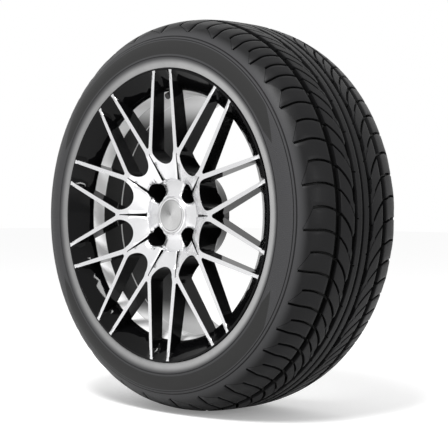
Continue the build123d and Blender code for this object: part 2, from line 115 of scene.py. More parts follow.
class Socket:
    """A shader value that takes part in Python arithmetic; each operator adds a Math node."""

    def __init__(self, nodes: "Nodes", link: bpy.types.NodeSocket) -> None:
        """Keeps the node tree it belongs to and the output socket it stands for."""
        self.nodes = nodes
        self.link = link

    def __add__(self, other: Any) -> "Socket":
        """Sum of two values."""
        return self.nodes.math("ADD", self, other)

    def __sub__(self, other: Any) -> "Socket":
        """Difference of two values."""
        return self.nodes.math("SUBTRACT", self, other)

    def __rsub__(self, other: Any) -> "Socket":
        """Difference, with this value taken away."""
        return self.nodes.math("SUBTRACT", other, self)

    def __mul__(self, other: Any) -> "Socket":
        """Product of two values."""
        return self.nodes.math("MULTIPLY", self, other)

    def __truediv__(self, other: Any) -> "Socket":
        """Quotient of two values."""
        return self.nodes.math("DIVIDE", self, other)

    def __abs__(self) -> "Socket":
        """Size of the value without its sign."""
        return self.nodes.math("ABSOLUTE", self)

    __radd__ = __add__
    __rmul__ = __mul__


class Nodes:
    """A node tree, of a material or of the world, and the means to add nodes to it."""

    def __init__(self, tree: bpy.types.NodeTree) -> None:
        """Starts with the tree emptied."""
        self.tree = tree
        self.tree.nodes.clear()

    def node(self, kind: str, settings: dict[str, Any] | None = None, **sockets: Any) -> bpy.types.Node:
        """Adds a node, sets its settings first and then its sockets.

        Args:
            kind: Blender's name of the node type.
            settings: attributes of the node, such as a Math node's operation.
            sockets: values or links of its inputs, with blanks of their names as underscores.
        Returns:
            The new node.
        """
        node = self.tree.nodes.new(kind)
        for key, value in (settings or {}).items():
            setattr(node, key, value)
        for key, value in sockets.items():
            self.plug(node.inputs[key.replace("_", " ")], value)
        return node

    def plug(self, target: bpy.types.NodeSocket, value: Any) -> None:
        """Links a socket to a value, or sets the value on it."""
        if isinstance(value, Socket):
            self.tree.links.new(value.link, target)
        else:
            target.default_value = value

    def math(self, operation: str, *values: Any) -> Socket:
        """Result of one Math node on the values."""
        node = self.node("ShaderNodeMath", {"operation": operation})
        for target, value in zip(node.inputs, values):
            self.plug(target, value)
        return Socket(self, node.outputs[0])


class Shader(Nodes):
    """Builds one material on a Principled shader."""

    # A Mix node keeps the sockets of every data type: these are its factor and colours, and its result.
    MIX_INPUTS = (0, 6, 7)
    MIX_RESULT = 2

    def __init__(self, name: str) -> None:
        """Starts a node tree with the shader and the output in it.

        Args:
            name: name of the material.
        """
        self.material = bpy.data.materials.new(name)
        self.material.use_nodes = True
        super().__init__(self.material.node_tree)
        self.surface = self.node("ShaderNodeBsdfPrincipled")
        self.node("ShaderNodeOutputMaterial", Surface=Socket(self, self.surface.outputs[0]))
        place = self.node("ShaderNodeSeparateXYZ", Vector=self.object_place())
        self.x, self.y, self.z = (Socket(self, out) for out in place.outputs)
        self.radius = self.math("SQRT", self.x * self.x + self.z * self.z)

    def object_place(self) -> Socket:
        """Object coordinates of the surface point."""
        return Socket(self, self.node("ShaderNodeTexCoord").outputs["Object"])

    def facing(self) -> Socket:
        """How far the surface looks along -Y, from -1 to 1."""
        normal = self.node("ShaderNodeNewGeometry").outputs["True Normal"]
        parts = self.node("ShaderNodeSeparateXYZ", Vector=Socket(self, normal))
        return 0.0 - Socket(self, parts.outputs["Y"])

    def attribute(self, name: str) -> Socket:
        """Number stored on the mesh under this name."""
        return Socket(self, self.node("ShaderNodeAttribute", {"attribute_name": name}).outputs["Fac"])

    def rise(self, value: Socket, low: float, high: float) -> Socket:
        """Smooth step of a value from 0 at the low end to 1 at the high end."""
        settings = {"interpolation_type": "SMOOTHSTEP"}
        node = self.node("ShaderNodeMapRange", settings, Value=value, From_Min=low, From_Max=high)
        return Socket(self, node.outputs["Result"])

    def band(self, value: Socket, low: float, high: float, soft: float) -> Socket:
        """One between two limits and zero outside them, with soft edges."""
        return self.rise(value, low - soft, low + soft) * (1.0 - self.rise(value, high - soft, high + soft))

    def noise(self, scale: float, detail: float = 3.0) -> Socket:
        """Noise of the given scale, in cycles to a metre, from 0 to 1."""
        place = self.object_place()
        node = self.node("ShaderNodeTexNoise", Vector=place, Scale=scale, Detail=detail)
        return Socket(self, node.outputs["Fac"])

    def mix(self, share: Any, first: Any, second: Any) -> Socket:
        """Colour between two colours."""
        node = self.node("ShaderNodeMix", {"data_type": "RGBA"})
        for index, value in zip(self.MIX_INPUTS, (share, first, second)):
            self.plug(node.inputs[index], value)
        return Socket(self, node.outputs[self.MIX_RESULT])

    def bump(self, height: Socket, distance: float) -> None:
        """Feeds a height, in units of the distance, to the shader's normal."""
        node = self.node("ShaderNodeBump", Height=height, Distance=distance, Strength=1.0)
        self.set(Normal=Socket(self, node.outputs["Normal"]))

    def set(self, **sockets: Any) -> None:
        """Sets sockets of the Principled shader."""
        for key, value in sockets.items():
            self.plug(self.surface.inputs[key.replace("_", " ")], value)


def curve_through(knots: np.ndarray, places: np.ndarray, at: np.ndarray) -> np.ndarray:
    """Natural cubic spline: second derivatives at the knots solve one tridiagonal system.

    Args:
        knots: parameter of each knot, rising.
        places: values at the knots, one row to a knot.
        at: parameters to evaluate, of any shape.
    Returns:
        Values at those parameters, with one more axis at the end.
    """
    step = np.diff(knots)
    size = len(knots)
    system = np.eye(size)
    right = np.zeros_like(places)
    inner = np.arange(1, size - 1)
    system[inner, inner - 1] = step[:-1]
    system[inner, inner] = 2 * (step[:-1] + step[1:])
    system[inner, inner + 1] = step[1:]
    slope = np.diff(places, axis=0) / step[:, None]
    right[1:-1] = 6 * np.diff(slope, axis=0)
    bend = np.linalg.solve(system, right)
    cell = np.clip(np.searchsorted(knots, at) - 1, 0, size - 2)
    width = step[cell][..., None]
    far = (knots[cell + 1] - at)[..., None]
    near = (at - knots[cell])[..., None]
    curved = (bend[cell] * far**3 + bend[cell + 1] * near**3) / (6 * width)
    first = (places[cell] / width - bend[cell] * width / 6) * far
    second = (places[cell + 1] / width - bend[cell + 1] * width / 6) * near
    return curved + first + second


def within(place: np.ndarray, span: Span) -> np.ndarray:
    """Whether each place lies between the ends of a span."""
    return (place > span[0]) & (place < span[1])


def ring_mesh(name: str, points: np.ndarray, sharp: float) -> bpy.types.Object:
    """Closed mesh from a grid of points that joins up with itself in both directions.

    Args:
        name: name of the object.
        points: array of rows, columns and three coordinates in metres.
        sharp: angle in degrees above which an edge stays sharp.
    Returns:
        The new object, linked to the scene.
    """
    rows, columns = points.shape[:2]
    index = np.arange(rows * columns).reshape(rows, columns)
    on = np.roll(index, -1, axis=0)
    quads = np.stack([index, on, np.roll(on, -1, axis=1), np.roll(index, -1, axis=1)], axis=-1)
    mesh = bpy.data.meshes.new(name)
    mesh.from_pydata(points.reshape(-1, 3), [], quads.reshape(-1, 4))
    mesh.shade_smooth()
    mesh.set_sharp_from_angle(angle=radians(sharp))
    piece = bpy.data.objects.new(name, mesh)
    bpy.context.scene.collection.objects.link(piece)
    return piece


@dataclass(frozen=True)
class TyreRubber:
    """Moulded rubber: dull tread, grooves and fine sidewall rings darkened with painted shade, a grey
    sidewall, and a painted sheen band above the rim, lighter on the right.

    Radii and widths are in millimetres; a span is where a mask rises, falls, or begins and ends.
    """

    tread: float = 0.008
    tread_tint: float = 0.05
    # Painted shade: the grooves' floors and the fine sidewall rings are painted towards this near-black.
    groove: float = 0.0015
    sidewall: float = 0.040
    sidewall_tint: float = 0.04
    side_rise: Span = (100.0, 112.0)
    painted_sheen: float = 0.27
    # Painted sheen: a light band above the rim stands in for a reflection, painted lighter on the right
    # than on the left.
    painted_sheen_left: float = 0.20
    painted_sheen_rise: Span = (235.0, 237.0)
    painted_sheen_fall: Span = (243.0, 253.5)
    painted_sheen_turn: Span = (-0.9, 0.4)
    painted_sheen_least: float = 0.82
    painted_sheen_mottle: float = 0.3
    painted_sheen_gloss: float = 0.1
    panel: float = 0.022
    panel_ring: Span = (258.0, 280.0)
    panel_soft: float = 0.4
    panel_tip: float = 265.0
    panel_taper: float = 0.012
    panel_rise: Span = (0.40, 0.42)
    line_rings: tuple[Span, ...] = ((281.6, 282.8), (285.6, 287.4), (253.6, 254.8))
    line_soft: float = 0.3
    line_shade: float = 0.8
    line_relief: float = 0.6
    knurl_count: float = 620.0
    knurl_relief: float = 0.10
    mottle_scale: float = 38.0
    mottle_gloss: float = 0.16
    grain_scale: float = 900.0
    grain_detail: float = 2.0
    grain_relief: float = 0.12
    roughness: float = 0.40
    specular: float = 0.09

    def material(self) -> bpy.types.Material:
        """Material with masks by radius, groove depth and angle."""
        shader = Shader("tyre_rubber")
        radius = shader.radius / MM
        side = shader.rise(abs(shader.y) / MM, *self.side_rise)
        angle = shader.math("ARCTAN2", shader.z, shader.x)
        away = abs(shader.z) / shader.radius
        pointed = shader.rise(away - abs(radius - self.panel_tip) * self.panel_taper, *self.panel_rise)
        zone = shader.band(radius, *self.panel_ring, self.panel_soft) * side
        panel = pointed * zone
        knurl = (1.0 - pointed) * zone
        # Painted sheen: the band above the rim is painted light as a reflection.
        painted_sheen = 1.0 - shader.rise(radius, *self.painted_sheen_fall)
        painted_sheen = painted_sheen * shader.rise(radius, *self.painted_sheen_rise) * side
        # Painted sheen: the band is painted lighter towards the right.
        right = shader.rise(shader.x / shader.radius, *self.painted_sheen_turn)
        # Painted shade: the fine moulded rings on the sidewall, sunk in by the bump, are also painted dark.
        first, second, third = (shader.band(radius, *ring, self.line_soft) for ring in self.line_rings)
        lines = (first + second + third) * side
        mottle = shader.noise(self.mottle_scale)
        base = shader.mix(side, grey(self.tread, self.tread_tint), grey(self.sidewall, self.sidewall_tint))
        base = shader.mix(panel, base, grey(self.panel))
        painted_sheen_colour = shader.mix(right, grey(self.painted_sheen_left), grey(self.painted_sheen))
        base = shader.mix(painted_sheen * (self.painted_sheen_least + mottle * self.painted_sheen_mottle), base, painted_sheen_colour)
        base = shader.mix(lines * self.line_shade, base, grey(self.groove))
        # Painted shade: the deeper a point lies in a groove, the nearer it is painted to near-black.
        base = shader.mix(shader.attribute("groove"), base, grey(self.groove))
        rough = self.roughness + (mottle - 0.5) * self.mottle_gloss - painted_sheen * self.painted_sheen_gloss
        ribs = shader.math("SINE", angle * self.knurl_count) * knurl * self.knurl_relief
        grain = shader.noise(self.grain_scale, self.grain_detail) * self.grain_relief
        shader.set(Base_Color=base, Roughness=rough, Specular_IOR_Level=self.specular)
        shader.bump(ribs + grain - lines * self.line_relief, MM)
        return shader.material


@dataclass
class Tyre:
    """Tyre moulded as one closed ring: rows run across it along the grooves, columns run round it.

    Lengths are in millimetres. A place on the outside is named by its distance along the section
    from the centre line, which equals the distance in Y as far as the shoulder.
    """

    radius: float = 321.5
    crown_drop: float = 10.8
    crown_drop_at: float = 85.8
    sharp: float = 34.0

    # The pitch of the pattern swells and shrinks round the tyre; angles are in degrees.
    pitches: int = 34
    pitch_start: float = 30.3
    pitch_swings: int = 4
    pitch_swing: float = 3.1

    # Channels round the tread, each by its middle and width, and the columns between and beside them.
    channels: tuple[Span, ...] = ((0.0, 5.0), (17.0, 7.0), (55.0, 11.0))
    channel_depth: float = 8.0
    channel_run: float = 1.1
    chamfer: float = 0.8
    lip: float = 0.5
    centre_gap: float = 0.5
    inner_lands: tuple[float, ...] = (6.0, 9.0, 11.3, 12.0, 25.0, 28.0, 28.7, 30.3)
    middle_lands: tuple[float, ...] = (31.0, 34.0, 37.0, 40.0, 43.0, 46.0)
    outer_lands: tuple[float, ...] = (65.0, 70.0, 76.0, 82.0, 88.0, 92.0)

    # Ends of the shoulder grooves, and the columns below them with the share in which they follow.
    short_end: float = 98.7
    long_end: float = 112.4
    end_steps: tuple[float, ...] = (-1.5, -0.7, 0.0, 0.5, 1.0)
    foot: tuple[Span, ...] = ((109.0, 0.55), (115.0, 0.2), (118.0, 0.0), (120.6, 0.0))
    hook_step: float = 0.5
    hook_depth: float = 0.9
    hook_rows: tuple[int, int] = (4, 12)

    # Run of the grooves round the tyre: over the shoulder, across the channel, then to the middle.
    peak_at: float = 85.0
    arch_bend: float = 0.01
    arch_end: float = 105.0
    channel_sides: Span = (49.5, 60.5)
    across_start: float = 6.0
    across_slope: float = 0.49
    curve_start: float = 11.4
    curve_run: float = 29.0
    curve_even: float = 26.0
    curve_cubic: float = 14.0
    inner_slope: float = 0.37
    slope_limit: float = 2.4

    # Widths, spans and depths of the shoulder grooves, the curved arms, the sipes and the short ticks.
    lateral_width: float = 4.0
    curved_width: float = 4.2
    sipe_width: float = 3.2
    tick_width: float = 2.7
    wall_run: float = 0.6
    shoulder_from: float = 60.4
    arm_span: Span = (20.4, 49.6)
    sipe_span: Span = (30.9, 49.6)
    tick_span: Span = (11.9, 28.1)
    tick_limit: float = 28.4
    merge_at: float = 21.0
    lateral_depth: float = 6.5
    fade_from: float = 95.0
    end_depth: float = 2.0
    sipe_depth: float = 5.5
    tick_depth: float = 4.0

    # The rib's corner moves out where an arm opens into the inner channel.
    widening: float = 3.0
    widening_span: Span = (19.0, 22.0)
    widening_rows: tuple[int, int] = (8, 16)

    # Shares of the two blocks of a pitch at which their inner rows lie.
    low_rows: tuple[float, ...] = (0.278, 0.516, 0.545, 0.783)
    high_rows: tuple[float, ...] = (0.2, 0.4, 0.6, 0.8)

    # Section below the crown: knots as place, radius and Y, and then points as radius and Y.
    corner: tuple[float, ...] = (62.0, 70.0, 78.0, 88.0)
    wall_knots: tuple[Place, ...] = (
        (103.45, 301.5, 101.0),
        (120.6, 288.0, 111.6),
        (139.7, 270.0, 117.9),
        (156.8, 253.0, 119.3),
    )
    wall_places: tuple[float, ...] = (124.0, 128.0, 132.0, 137.0, 142.0, 147.0, 152.0, 155.0, 156.8)
    band_top: Span = (253.0, 119.3)
    band_fall: Span = (16.2, 3.7)
    band_hollow: float = 1.1
    band_first: float = 0.15
    band_rows: int = 6
    bead: tuple[Span, ...] = ((235.75, 108.45), (226.95, 101.45), (218.45, 101.45), (216.88, 83.6))
    liner: tuple[Span, ...] = (
        (238.0, 101.6),
        (254.0, 106.0),
        (270.0, 110.4),
        (288.0, 97.0),
        (302.1, 80.5),
        (305.0, 40.0),
    )

    def groove_places(self, shift: float) -> np.ndarray:
        """Places of one kind of groove round the tread, at a pitch that swells and shrinks."""
        even = 2 * pi / self.pitches * (np.arange(self.pitches) + shift)
        swing = radians(self.pitch_swing) * np.cos(self.pitch_swings * even)
        return (even + swing + radians(self.pitch_start)) * self.radius

    def columns(self) -> tuple[np.ndarray, np.ndarray, np.ndarray]:
        """Columns of one half's tread from the centre line to the shoulder's foot.

        Returns:
            Their places, the depth of the channel at each of them, and how far each follows
            the outer ends of the shoulder grooves.
        """
        lands = self.inner_lands + self.middle_lands + self.outer_lands
        table = [(place, 0.0, 0.0) for place in lands]
        for middle, width in self.channels:
            for side in (-1, 1):
                edge = middle + side * width / 2
                table += [(edge + side * self.chamfer, 0.0, 0.0), (edge, self.lip, 0.0)]
                table += [(edge - side * self.channel_run, self.channel_depth, 0.0)]
        table += [(self.short_end + step, 0.0, 1.0) for step in self.end_steps]
        table += [(place, 0.0, follow) for place, follow in self.foot]
        table = sorted(row for row in table if row[0] > self.centre_gap)
        places, depths, follows = np.array(table).T
        return places, depths, follows

    def lean(self, place: np.ndarray) -> np.ndarray:
        """How far the grooves run round the tyre: an arch on the shoulder, then a curve to the middle."""
        inner, outer = self.channel_sides
        arch = -self.arch_bend * (np.minimum(place, self.arch_end) - self.peak_at) ** 2
        across = -self.across_start - self.across_slope * (outer - place)
        share = np.clip((inner - place) / self.curve_run, 0.0, 1.0)
        curve = -self.curve_start - self.curve_even * share - self.curve_cubic * share**3
        curve = curve - self.inner_slope * np.maximum(inner - self.curve_run - place, 0.0)
        return np.where(place > outer, arch, np.where(place > inner, across, curve))

    def groove_widths(self, place: np.ndarray) -> tuple[np.ndarray, np.ndarray]:
        """Lengths round the tyre that the short and the long groove of a pitch take up at each column."""
        slope = np.gradient(self.lean(place), place)
        slant = np.sqrt(1 + np.clip(slope, -self.slope_limit, self.slope_limit) ** 2)
        shoulder = place > self.channels[-1][0]
        short = np.where(shoulder, self.lateral_width, self.curved_width) * slant
        at_merge = short[np.searchsorted(place, self.merge_at)]
        short = np.where(place < self.merge_at, at_merge, short)
        long = np.where(shoulder, self.lateral_width, self.sipe_width) * slant
        return short, np.where(place < self.tick_limit, self.tick_width, long)

    def rows(self, half: Half, place: np.ndarray) -> tuple[np.ndarray, list[Row], np.ndarray]:
        """Rows of each pitch: the long groove, a block, the short groove and another block.

        Args:
            half: which half of the tyre they are on.
            place: places of the columns.
        Returns:
            Places of the rows round the tyre by pitch, row and column; the kind of each row of a
            pitch; and how near each row is to the long groove, from 0 to 1.
        """
        short, long = self.groove_widths(place)
        signs = np.array([-1, -1, -1, 1, 1, 1])[:, None]
        inset = np.array([-self.chamfer, 0, self.wall_run, self.wall_run, 0, -self.chamfer])[:, None]
        at_long = self.groove_places(half.shift)[:, None, None] + signs * (long / 2 - inset)
        at_short = self.groove_places(half.shift + 0.5)[:, None, None] + signs * (short / 2 - inset)
        lower, upper = np.array(self.low_rows), np.array(self.high_rows)
        following = np.roll(at_long[:, :1], -1, axis=0)
        following[-1] += 2 * pi * self.radius
        low_block = at_long[:, -1:] + lower[:, None] * (at_short[:, :1] - at_long[:, -1:])
        high_block = at_short[:, -1:] + upper[:, None] * (following - at_short[:, -1:])
        places = np.concatenate([at_long, low_block, at_short, high_block], axis=1)
        long_kinds = [Row.LAND, Row.LONG_EDGE, Row.LONG_FLOOR]
        short_kinds = [Row.LAND, Row.SHORT_EDGE, Row.SHORT_FLOOR]
        low_kinds, high_kinds = [Row.LAND] * len(lower), [Row.LAND] * len(upper)
        kinds = long_kinds + long_kinds[::-1] + low_kinds + short_kinds + short_kinds[::-1] + high_kinds
        near = np.concatenate([np.ones(len(signs)), 1 - lower, np.zeros(len(signs)), upper])
        return places, kinds, near

    def relief(self, kinds: list[Row], place: np.ndarray, depth: np.ndarray) -> np.ndarray:
        """Depth below the tread: the deeper of the channel and the groove at each point."""
        fade = np.interp(place, [self.fade_from, self.long_end], [self.lateral_depth, self.end_depth])
        shoulder = np.where(within(place, (self.shoulder_from, self.short_end)), fade, 0.0)
        short = shoulder + np.where(within(place, self.arm_span), self.lateral_depth, 0.0)
        long = shoulder + np.where(within(place, self.sipe_span), self.sipe_depth, 0.0)
        long = long + np.where(within(place, self.tick_span), self.tick_depth, 0.0)
        floors = {
            Row.LAND: np.zeros_like(place),
            Row.SHORT_EDGE: np.minimum(short, self.lip),
            Row.SHORT_FLOOR: short,
            Row.LONG_EDGE: np.minimum(long, self.lip),
            Row.LONG_FLOOR: long,
        }
        deep = np.maximum(np.stack([floors[kind] for kind in kinds]), depth[None, :])
        hook = np.searchsorted(place, self.short_end + self.hook_step)
        deep[slice(*self.hook_rows), hook] = self.hook_depth
        return deep

    def half_grid(self, half: Half) -> tuple[np.ndarray, np.ndarray]:
        """Points of one half from the centre line over the outside to the liner.

        Args:
            half: which half it is.
        Returns:
            Points in metres by row and column, and the groove depth at each as a share.
        """
        place, depth, follow = self.columns()
        rows, kinds, near = self.rows(half, place)
        deep = self.relief(kinds, place, depth)
        swing = near * (self.long_end - self.short_end)
        wide = np.zeros(len(kinds))
        wide[slice(*self.widening_rows)] = self.widening
        along = place + follow * swing[:, None] + wide[:, None] * within(place, self.widening_span)
        turn = rows + self.lean(place)
        tread = self.section(along) - self.outward(along) * deep[..., None]
        wall = self.wall_points()
        wall = np.broadcast_to(wall[None], (len(kinds),) + wall.shape)
        points = np.concatenate([tread, wall], axis=1)
        turn = np.concatenate([turn, np.repeat(turn[..., -1:], wall.shape[1], axis=2)], axis=2)
        share = np.concatenate([deep / self.channel_depth, np.zeros(wall.shape[:2])], axis=1)
        angle = turn.reshape(-1, turn.shape[2]) / self.radius
        radius = np.tile(points[..., 0], (self.pitches, 1))
        across = half.side * np.tile(points[..., 1], (self.pitches, 1))
        grid = np.stack([radius * np.cos(angle), across, radius * np.sin(angle)], axis=-1) * MM
        return grid, np.tile(share, (self.pitches, 1))

    def section(self, along: np.ndarray) -> np.ndarray:
        """Radius and Y of points on the outside: a cubic crown, then a curve down the sidewall."""
        along = np.asarray(along, float)
        crown = self.radius - self.crown_drop * (along / self.crown_drop_at) ** 3
        corner = np.array(self.corner)
        over = self.radius - self.crown_drop * (corner / self.crown_drop_at) ** 3
        below = np.array(self.wall_knots)
        knots, heights, widths = np.concatenate([np.stack([corner, over, corner], axis=1), below]).T
        curve = curve_through(knots, np.stack([heights, widths], axis=1), np.maximum(along, knots[0]))
        flat = np.stack([crown, along], axis=-1)
        return np.where((along < corner[1])[..., None], flat, curve)

    def outward(self, along: np.ndarray) -> np.ndarray:
        """Unit normal of the section, from a small step along it."""
        step = 0.05
        run = self.section(along + step) - self.section(along - step)
        normal = np.stack([run[..., 1], -run[..., 0]], axis=-1)
        return normal / np.linalg.norm(normal, axis=-1, keepdims=True)

    def wall_points(self) -> np.ndarray:
        """Section from the shoulder's foot down the sidewall, round the bead and up the liner."""
        wall = self.section(np.array(self.wall_places))
        share = np.linspace(self.band_first, 1.0, self.band_rows)
        hollow = self.band_hollow * np.sin(pi * share)
        height = self.band_top[0] - self.band_fall[0] * share
        width = self.band_top[1] - self.band_fall[1] * share - hollow
        return np.concatenate([wall, np.stack([height, width], axis=1), self.bead, self.liner])

    def build(self) -> bpy.types.Object:
        """Mesh of the whole tyre: the outer half, then the inner half back to the centre line."""
        outer, outer_depth = self.half_grid(Half.OUTER)
        inner, inner_depth = self.half_grid(Half.INNER)
        points = np.concatenate([outer, inner[:, ::-1]], axis=1)
        share = np.concatenate([outer_depth, inner_depth[:, ::-1]], axis=1)
        piece = ring_mesh("tyre_moulded", points, self.sharp)
        # Groove depth as a share, which the rubber turns into painted shade.
        depth = piece.data.attributes.new("groove", "FLOAT", "POINT")
        depth.data.foreach_set("value", np.clip(share, 0, 1).astype(np.float32).ravel())
        piece.data.materials.append(TyreRubber().material())
        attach(piece, ROOT)
        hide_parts("tyre")
        return piece


@dataclass(frozen=True)
class WheelFinish:
    """Machined face over gloss black, with painted reflections in the barrel: a bright band, a fainter
    line, and a rear lining painted light at top and bottom and dark at the sides.

    Radii and depths are in millimetres, depths from the rim's outer edge; a span is where a mask
    rises, or begins and ends.
    """

    silver: float = 0.72
    silver_tint: float = 0.015
    black: float = 0.002
    black_tint: float = 0.1
    # Painted reflection: shades of the bright band in the barrel, and of the rear lining's dark sides and
    # light top and bottom.
    band: float = 0.92
    rear: float = 0.006
    rear_reflection: float = 0.90
    rim_edge: float = 117.6

    # The machined face: a shallow cone, a crease, and a steeper cone to the recess of the hub.
    crease_radius: float = 102.0
    crease_depth: float = 3.6
    face_radius: float = 232.4
    recess_radius: float = 59.8
    recess_depth: float = 22.2
    looks_out: Span = (0.78, 0.84)
    under_face: Span = (1.0, 1.4)
    face_ring: Span = (59.3, 233.6)
    face_soft: float = 0.3

    # The lip between the arms' branches stays black.
    arms: int = 10
    lip_rise: Span = (227.0, 227.4)
    branch_at: float = 19.25
    branch_rise: Span = (3.0, 3.3)

    # The hub's disc, with its bolt pockets and the hole for the cap left black.
    pocket_at: float = 35.355
    pocket_rise: Span = (15.9, 16.05)
    recess_rise: Span = (59.7, 60.1)
    disc_depth: Span = (31.0, 31.4)
    cap_rise: Span = (28.6, 29.0)

    # The barrel behind the arms, with reflections painted on.
    barrel_rise: Span = (193.0, 195.0)
    barrel_fall: Span = (216.0, 217.0)
    reflection_band: Span = (31.0, 50.0)
    reflection_band_soft: float = 0.8
    reflection_line: Span = (89.0, 92.0)
    reflection_line_soft: float = 0.4
    reflection_line_share: float = 0.6
    rear_rise: Span = (50.0, 51.0)
    upright_reflection: Span = (0.72, 0.94)

    paint_rough: float = 0.07
    reflection_band_rough: float = 0.05
    rear_rough: float = 0.2
    metal_rough: float = 0.23
    brushed_rough: float = 0.06
    brushed_scale: float = 240.0
    brushed_detail: float = 2.0
    turning_lines: float = 14.0
    turning_relief: float = 0.06
    turning_height: float = 0.2
    metallic: float = 0.9
    specular: float = 0.12

    def face_mask(self, shader: Shader, radius: Socket, depth: Socket) -> Socket:
        """Where the face was cut bright.

        Args:
            shader: material under construction.
            radius: distance from the axle.
            depth: distance behind the rim's outer edge.
        Returns:
            One on the machined face of the arms and their ends on the lip.
        """
        flat = (self.face_radius - radius) * (self.crease_depth / (self.face_radius - self.crease_radius))
        fall = (self.recess_depth - self.crease_depth) / (self.crease_radius - self.recess_radius)
        cone = (self.crease_radius - radius) * fall + self.crease_depth
        face = shader.math("MAXIMUM", flat, cone)
        cut = shader.rise(shader.facing(), *self.looks_out)
        cut = cut * (1.0 - shader.rise(depth - face, *self.under_face))
        cut = cut * shader.band(radius, *self.face_ring, self.face_soft)
        step = 2 * pi / self.arms
        turn = shader.math("FLOORED_MODULO", shader.math("ARCTAN2", shader.z, shader.x), step)
        off = abs(abs(turn - step / 2) * self.face_radius - self.branch_at)
        gap = shader.rise(off, *self.branch_rise)
        return cut * (1.0 - gap * shader.rise(radius, *self.lip_rise))

    def hub_mask(self, shader: Shader, radius: Socket, depth: Socket) -> Socket:
        """Where the hub's disc is bright, with the same arguments and result as for the face."""
        aside = abs(shader.x) / MM - self.pocket_at
        above = abs(shader.z) / MM - self.pocket_at
        pocket = shader.math("SQRT", aside * aside + above * above)
        hub = shader.rise(pocket, *self.pocket_rise) * (1.0 - shader.rise(radius, *self.recess_rise))
        return hub * (1.0 - shader.rise(depth, *self.disc_depth)) * shader.rise(radius, *self.cap_rise)

    def material(self) -> bpy.types.Material:
        """Material whose masks follow the depth of the machined face and of the barrel."""
        shader = Shader("wheel_finish")
        radius = shader.radius / MM
        depth = shader.y / MM + self.rim_edge
        cut = self.face_mask(shader, radius, depth)
        metal = shader.math("MAXIMUM", cut, self.hub_mask(shader, radius, depth))
        inside = shader.rise(radius, *self.barrel_rise) * (1.0 - shader.rise(radius, *self.barrel_fall))
        # Painted reflection: a bright band and a fainter line at set depths in the barrel.
        reflection_line = shader.band(depth, *self.reflection_line, self.reflection_line_soft) * inside
        reflection_band = shader.band(depth, *self.reflection_band, self.reflection_band_soft) * inside
        barrel = shader.math("MAXIMUM", reflection_band, reflection_line * self.reflection_line_share)
        rear = shader.rise(depth, *self.rear_rise) * inside
        # Painted reflection: the rear lining is painted light at top and bottom and dark at the sides.
        upright_reflection = shader.rise(abs(shader.z) / shader.radius, *self.upright_reflection)
        turning = shader.math("SINE", radius * self.turning_lines)
        brushed = shader.noise(self.brushed_scale, self.brushed_detail)
        lining = shader.mix(upright_reflection, grey(self.rear), grey(self.rear_reflection))
        base = shader.mix(rear, grey(self.black, self.black_tint), lining)
        base = shader.mix(barrel, base, grey(self.band))
        base = shader.mix(metal, base, grey(self.silver, self.silver_tint))
        shine = self.paint_rough + barrel * self.reflection_band_rough + rear * self.rear_rough
        rough = shine + metal * (self.metal_rough + brushed * self.brushed_rough - shine)
        shader.set(Base_Color=base, Roughness=rough, Metallic=metal * self.metallic)
        shader.set(Specular_IOR_Level=self.specular)
        shader.bump(turning * metal * self.turning_relief, MM * self.turning_height)
        return shader.material


@dataclass(frozen=True)
class Spun:
    """Spun metal disc: fine turned rings, and a painted reflection as a cone of light and dark round the
    middle.
    """

    # Painted reflection: shades of the cone's dark and light sides, and the angle where it is darkest.
    dark: float = 0.26
    light: float = 0.68
    darkest_at: float = 140.0
    reflection_middle: float = 0.42
    reflection_once: float = 0.34
    reflection_twice: float = 0.22
    ring_lines: float = 9.0
    ring_rough: float = 0.05
    ring_relief: float = 0.05
    ring_height: float = 0.2
    roughness: float = 0.3
    metallic: float = 0.9

    def material(self) -> bpy.types.Material:
        """Material painted from dark to light with the angle round Y, as a reflection."""
        shader = Shader("spun_disc")
        # Painted reflection: the disc is painted darker and lighter with the angle round its middle.
        angle = shader.math("ARCTAN2", shader.z, shader.x) - radians(self.darkest_at)
        painted_reflection = shader.math("COSINE", angle) * self.reflection_once
        painted_reflection = painted_reflection + shader.math("COSINE", angle * 2.0) * self.reflection_twice + self.reflection_middle
        rings = shader.math("SINE", shader.radius / MM * self.ring_lines)
        base = shader.mix(painted_reflection, grey(self.light), grey(self.dark))
        rough = self.roughness + rings * self.ring_rough
        shader.set(Base_Color=base, Roughness=rough, Metallic=self.metallic)
        shader.bump(rings * self.ring_relief, MM * self.ring_height)
        return shader.material


@dataclass(frozen=True)
class CapSilver:
    """Bright moulded cap with two fine turned lines in its rim, sunk in and painted dark as shade."""

    silver: float = 0.74
    silver_tint: float = 0.01
    # Painted shade: colour of the two fine sunk lines.
    line: float = 0.16
    line_radii: Span = (25.1, 28.6)
    line_half: float = 0.25
    line_relief: float = -0.5
    mottle_scale: float = 300.0
    mottle_rough: float = 0.06
    mottle_relief: float = 0.03
    relief_height: float = 0.4
    roughness: float = 0.22
    metallic: float = 0.85

    def material(self) -> bpy.types.Material:
        """Material whose lines follow the radius."""
        shader = Shader("cap_silver")
        radius = shader.radius / MM
        near, far = (abs(radius - at) for at in self.line_radii)
        lines = 1.0 - shader.rise(shader.math("MINIMUM", near, far), self.line_half, self.line_half * 2)
        mottle = shader.noise(self.mottle_scale)
        base = shader.mix(lines, grey(self.silver, self.silver_tint), grey(self.line))
        rough = self.roughness + mottle * self.mottle_rough
        shader.set(Base_Color=base, Roughness=rough, Metallic=self.metallic)
        shader.bump(lines * self.line_relief + mottle * self.mottle_relief, MM * self.relief_height)
        return shader.material


